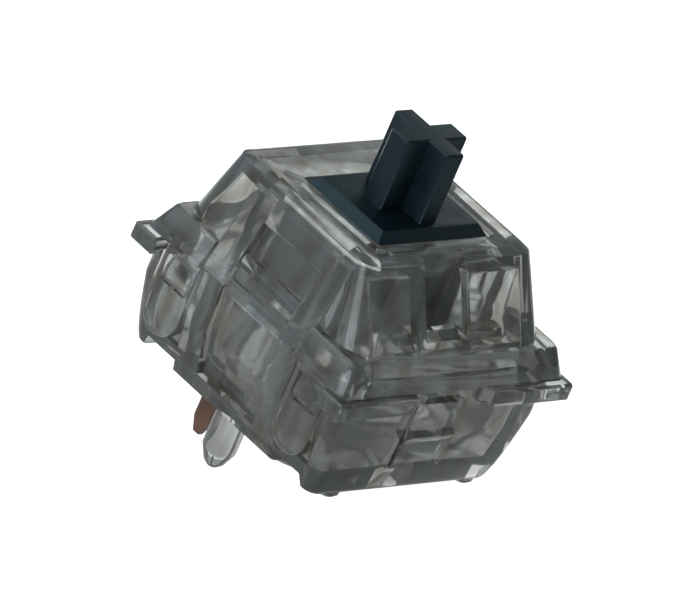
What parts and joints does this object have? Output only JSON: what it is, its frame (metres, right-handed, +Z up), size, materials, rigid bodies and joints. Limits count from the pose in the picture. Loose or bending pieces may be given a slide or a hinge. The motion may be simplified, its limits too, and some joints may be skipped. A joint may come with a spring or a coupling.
{
  "type": "mechanical keyboard switch",
  "caption": "Square push switch with a cross-shaped stem, a see-through smoky snap-together housing with a plate collar, round locating posts and flat solder pins.",
  "frame": {"origin": "on the stem's centre line, level with the tips of the solder pins", "axes": "+Z up along the stem towards the keycap, +Y north towards the solder pins, +X east along the wide bar of the stem's cross"},
  "size_m": [0.0156, 0.0156, 0.0182],
  "materials": {
    "smoky_plastic": "smoky translucent moulded plastic, glossy",
    "navy_plastic": "navy-black moulded plastic, satin",
    "spring_steel": "drawn wire, bright",
    "copper_alloy": "stamped strip, reddish brown, satin",
    "contact_gold": "precious-metal bar, polished"
  },
  "bodies": {
    "housing": {"bottom_housing": "smoky_plastic", "top_housing": "smoky_plastic", "fixed_terminal": "copper_alloy", "moving_terminal": "copper_alloy", "fixed_contact": "contact_gold", "return_spring": "spring_steel"},
    "slider": {"stem": "navy_plastic"},
    "leaf": {"contact_leaf": "copper_alloy", "moving_contact": "contact_gold"}
  },
  "joints": [
    {"name": "stem_press", "type": "slide", "parent": "housing", "child": "slider", "axis": [0, 0, -1], "range_m": [0, 0.004], "stiffness_N_per_m": 130, "springref_m": -0.0005, "deforming": ["return_spring"]},
    {"name": "leaf_flex", "type": "hinge", "parent": "housing", "child": "leaf", "pos_m": [0, 0.00489, 0.0044], "axis": [1, 0, 0], "range_deg": [0, 4.8]}
  ],
  "couplings": [
    {"joint": "leaf_flex", "follows": "stem_press", "rad_per_m": 20.8}
  ]
}
